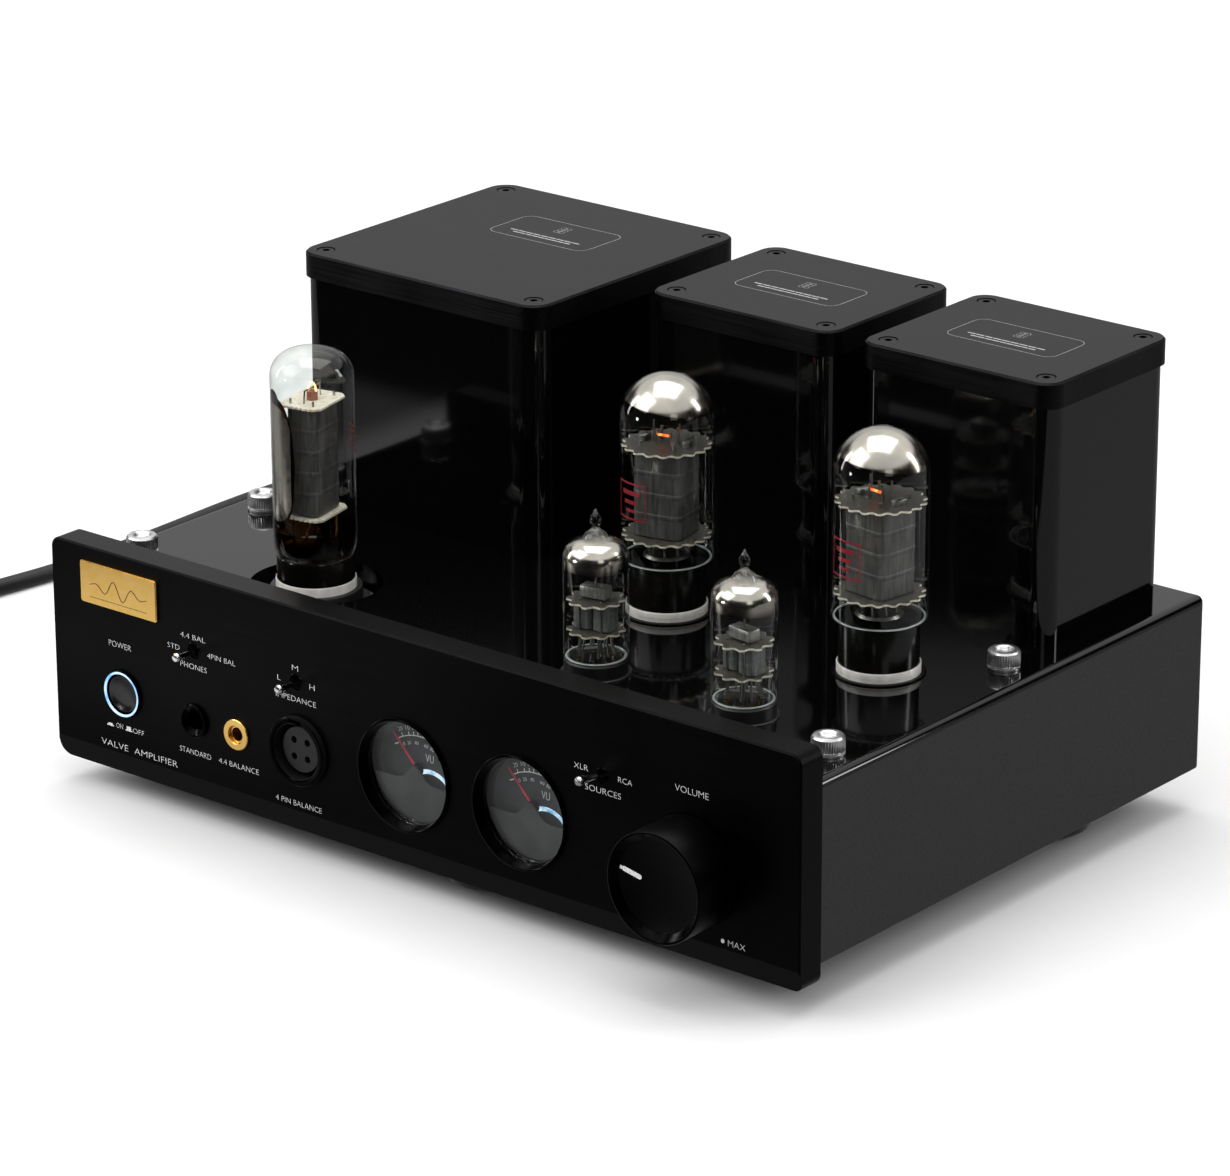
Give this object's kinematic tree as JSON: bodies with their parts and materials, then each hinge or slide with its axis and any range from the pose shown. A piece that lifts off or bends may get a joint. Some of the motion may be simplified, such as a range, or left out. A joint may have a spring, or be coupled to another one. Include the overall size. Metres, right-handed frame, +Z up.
{
  "type": "valve headphone amplifier",
  "caption": "Black valve headphone amplifier: thick front panel with meters and knob, gloss deck with valves, three boxed transformers, mains lead.",
  "frame": {"origin": "on the table, under the middle of the amplifier's box without its mains lead", "axes": "+Z up, front panel faces -Y, +X to the right seen from the front"},
  "size_m": [0.596, 0.4059, 0.17],
  "materials": {
    "panel": "fine brushed, black anodised",
    "deck": "gloss black lacquer",
    "chassis": "satin black powder coat",
    "gold_plate": "gold plated",
    "chrome": "bright chrome",
    "black_steel": "black oxide",
    "foot": "satin moulding",
    "cover": "gloss black lacquer",
    "cap": "coarse brushed, black anodised",
    "core_steel": "varnished laminations",
    "winding": "enamelled copper wire",
    "ceramic": "glazed steatite",
    "button": "gloss",
    "lamp_ring": "translucent, lit pale blue",
    "black_plastic": "moulded black",
    "glass": "clear soda-lime glass",
    "dial": "matt dark grey dial paint",
    "bezel": "polished, black anodised",
    "needle": "red paint",
    "knob": "satin turned, black anodised",
    "valve_base": "moulded phenolic",
    "anode": "carbonised nickel sheet",
    "board": "solder mask over glass fibre",
    "cord": "black PVC jacket",
    "cord_plastic": "moulded black PVC"
  },
  "bodies": {
    "chassis": {"balanced_jack": "gold_plate", "bottom_cover": "chassis", "cap_screws": "black_steel", "driver_valve_left_glass": "glass", "driver_valve_left_plates": "anode", "driver_valve_right_glass": "glass", "driver_valve_right_plates": "anode", "driver_valve_sockets": "ceramic", "foot_front": "foot", "foot_rear_left": "foot", "foot_rear_right": "foot", "front_panel": "panel", "headphone_jack": "black_plastic", "iec_connector": "cord_plastic", "iec_inlet": "black_plastic", "input_sockets": "gold_plate", "lead_coil": "cord", "main_board": "board", "mains_lead": "cord", "mains_plug": "cord_plastic", "meter_dials": "dial", "meter_glasses": "glass", "meter_left_bezel": "bezel", "meter_right_bezel": "bezel", "name_badge": "gold_plate", "output_left_cap": "cap", "output_left_cover": "cover", "output_right_cap": "cap", "output_right_cover": "cover", "panel_switches": "black_plastic", "potentiometer": "black_plastic", "power_cap": "cap", "power_cover": "cover", "power_ring": "lamp_ring", "power_valve_left_base": "valve_base", "power_valve_left_glass": "glass", "power_valve_left_plates": "anode", "power_valve_right_base": "valve_base", "power_valve_right_glass": "glass", "power_valve_right_plates": "anode", "power_valve_sockets": "ceramic", "rear_panel": "chassis", "rectifier_base": "valve_base", "rectifier_glass": "glass", "rectifier_plates": "anode", "rectifier_socket": "ceramic", "side_left": "chassis", "side_right": "chassis", "thumb_nuts": "chrome", "top_deck": "deck", "transformer_cores": "core_steel", "transformer_windings": "winding", "xlr_socket": "black_plastic"},
    "knob": {"volume_knob": "knob"},
    "button": {"power_button": "button"},
    "phones_lever": {"phones_lever": "chrome"},
    "impedance_lever": {"impedance_lever": "chrome"},
    "source_lever": {"source_lever": "chrome"},
    "needle_left": {"meter_left_needle": "needle"},
    "needle_right": {"meter_right_needle": "needle"}
  },
  "joints": [
    {"name": "volume_turn", "type": "hinge", "parent": "chassis", "child": "knob", "pos_m": [0.1193, -0.12, 0.0406], "axis": [0, 1, 0], "range_deg": [-60, 239]},
    {"name": "power_press", "type": "slide", "parent": "chassis", "child": "button", "axis": [0, 1, 0], "range_m": [-0.0025, 0.0005], "stiffness_N_per_m": 300},
    {"name": "phones_select", "type": "hinge", "parent": "chassis", "child": "phones_lever", "pos_m": [-0.0959, -0.1085, 0.0634], "axis": [0, 0, 1], "range_deg": [-15, 15]},
    {"name": "impedance_select", "type": "hinge", "parent": "chassis", "child": "impedance_lever", "pos_m": [-0.0492, -0.1085, 0.0633], "axis": [0, 0, 1], "range_deg": [-15, 15]},
    {"name": "source_select", "type": "hinge", "parent": "chassis", "child": "source_lever", "pos_m": [0.083, -0.1085, 0.0633], "axis": [0, 0, 1], "range_deg": [0, 30]},
    {"name": "needle_left_swing", "type": "hinge", "parent": "chassis", "child": "needle_left", "pos_m": [-0.0018, -0.1055, 0.0419], "axis": [0, 1, 0], "range_deg": [0, 80], "stiffness_Nm_per_rad": 0.00002},
    {"name": "needle_right_swing", "type": "hinge", "parent": "chassis", "child": "needle_right", "pos_m": [0.0481, -0.1055, 0.0416], "axis": [0, 1, 0], "range_deg": [0, 80], "stiffness_Nm_per_rad": 0.00002}
  ]
}
